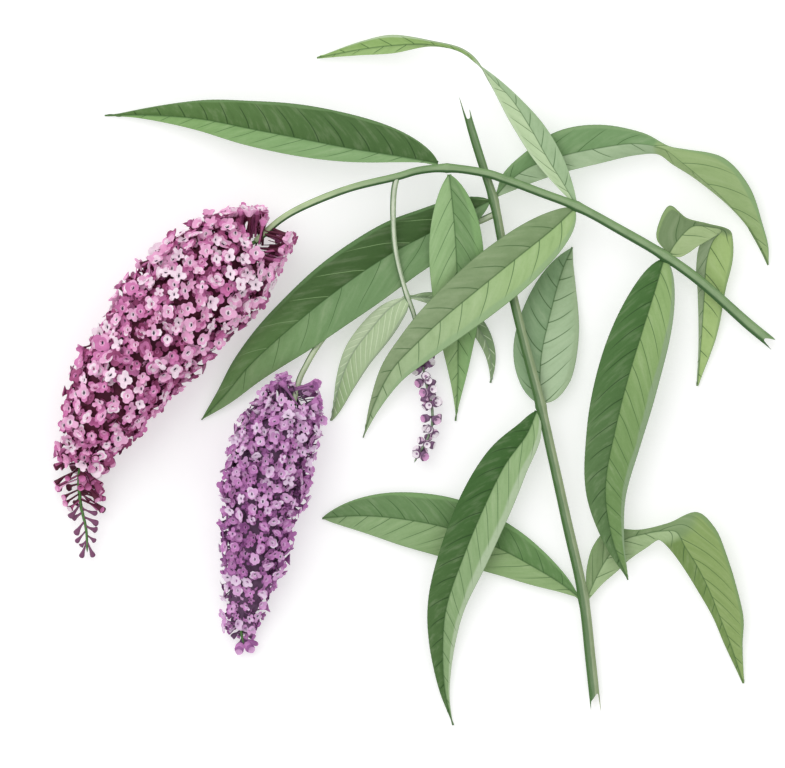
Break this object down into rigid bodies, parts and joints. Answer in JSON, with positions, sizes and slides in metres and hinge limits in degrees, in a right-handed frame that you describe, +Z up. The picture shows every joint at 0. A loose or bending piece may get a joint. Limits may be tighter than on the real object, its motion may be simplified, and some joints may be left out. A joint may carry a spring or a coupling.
{
  "type": "cut flowering sprigs of butterfly bush",
  "caption": "Cut sprigs of butterfly bush lying flat: paired lance-shaped leaves on an upright stem and an arching branch, with drooping cone-shaped flower heads.",
  "frame": {"origin": "bottom centre of the bounding box, on the surface the sprigs lie on", "axes": "+Z up from the surface towards a viewer who looks down, +Y towards the top of the upright stem, +X towards the arching branch's cut end"},
  "size_m": [0.36, 0.3456, 0.0512],
  "materials": {
    "stem_green": "matt green bark with a grey bloom",
    "leaf_dark": "matt, darker upper half",
    "leaf_mid": "matt with fine side veins",
    "leaf_pale": "matt pale underside",
    "petal_pink": "matt petals",
    "petal_purple": "matt petals",
    "petal_lilac": "matt buds and young florets"
  },
  "bodies": {
    "root": {"upright_stem": "stem_green", "arching_branch_right": "stem_green", "arching_branch_left": "stem_green", "side_shoot": "stem_green", "purple_flower_stalk": "stem_green", "branch_leaf_left": "leaf_mid", "branch_leaf_down": "leaf_mid", "branch_leaf_crossing": "leaf_mid", "branch_leaf_long": "leaf_dark", "branch_leaf_top_inner": "leaf_pale", "branch_leaf_top_outer": "leaf_pale", "branch_leaf_right_inner": "leaf_pale", "branch_leaf_right_outer": "leaf_mid", "stem_leaf_top_left": "leaf_dark", "stem_leaf_middle_left": "leaf_dark", "stem_leaf_middle_right": "leaf_pale", "stem_leaf_bottom_left": "leaf_mid", "stem_leaf_top_right_inner": "leaf_mid", "stem_leaf_top_right_outer": "leaf_mid", "stem_leaf_bottom_right_inner": "leaf_mid", "stem_leaf_bottom_right_outer": "leaf_mid", "side_leaf_left": "leaf_pale", "side_leaf_right": "leaf_mid", "pink_flower_head": "petal_pink", "purple_flower_head": "petal_purple", "young_flower_spike": "petal_lilac"}
  },
  "joints": []
}
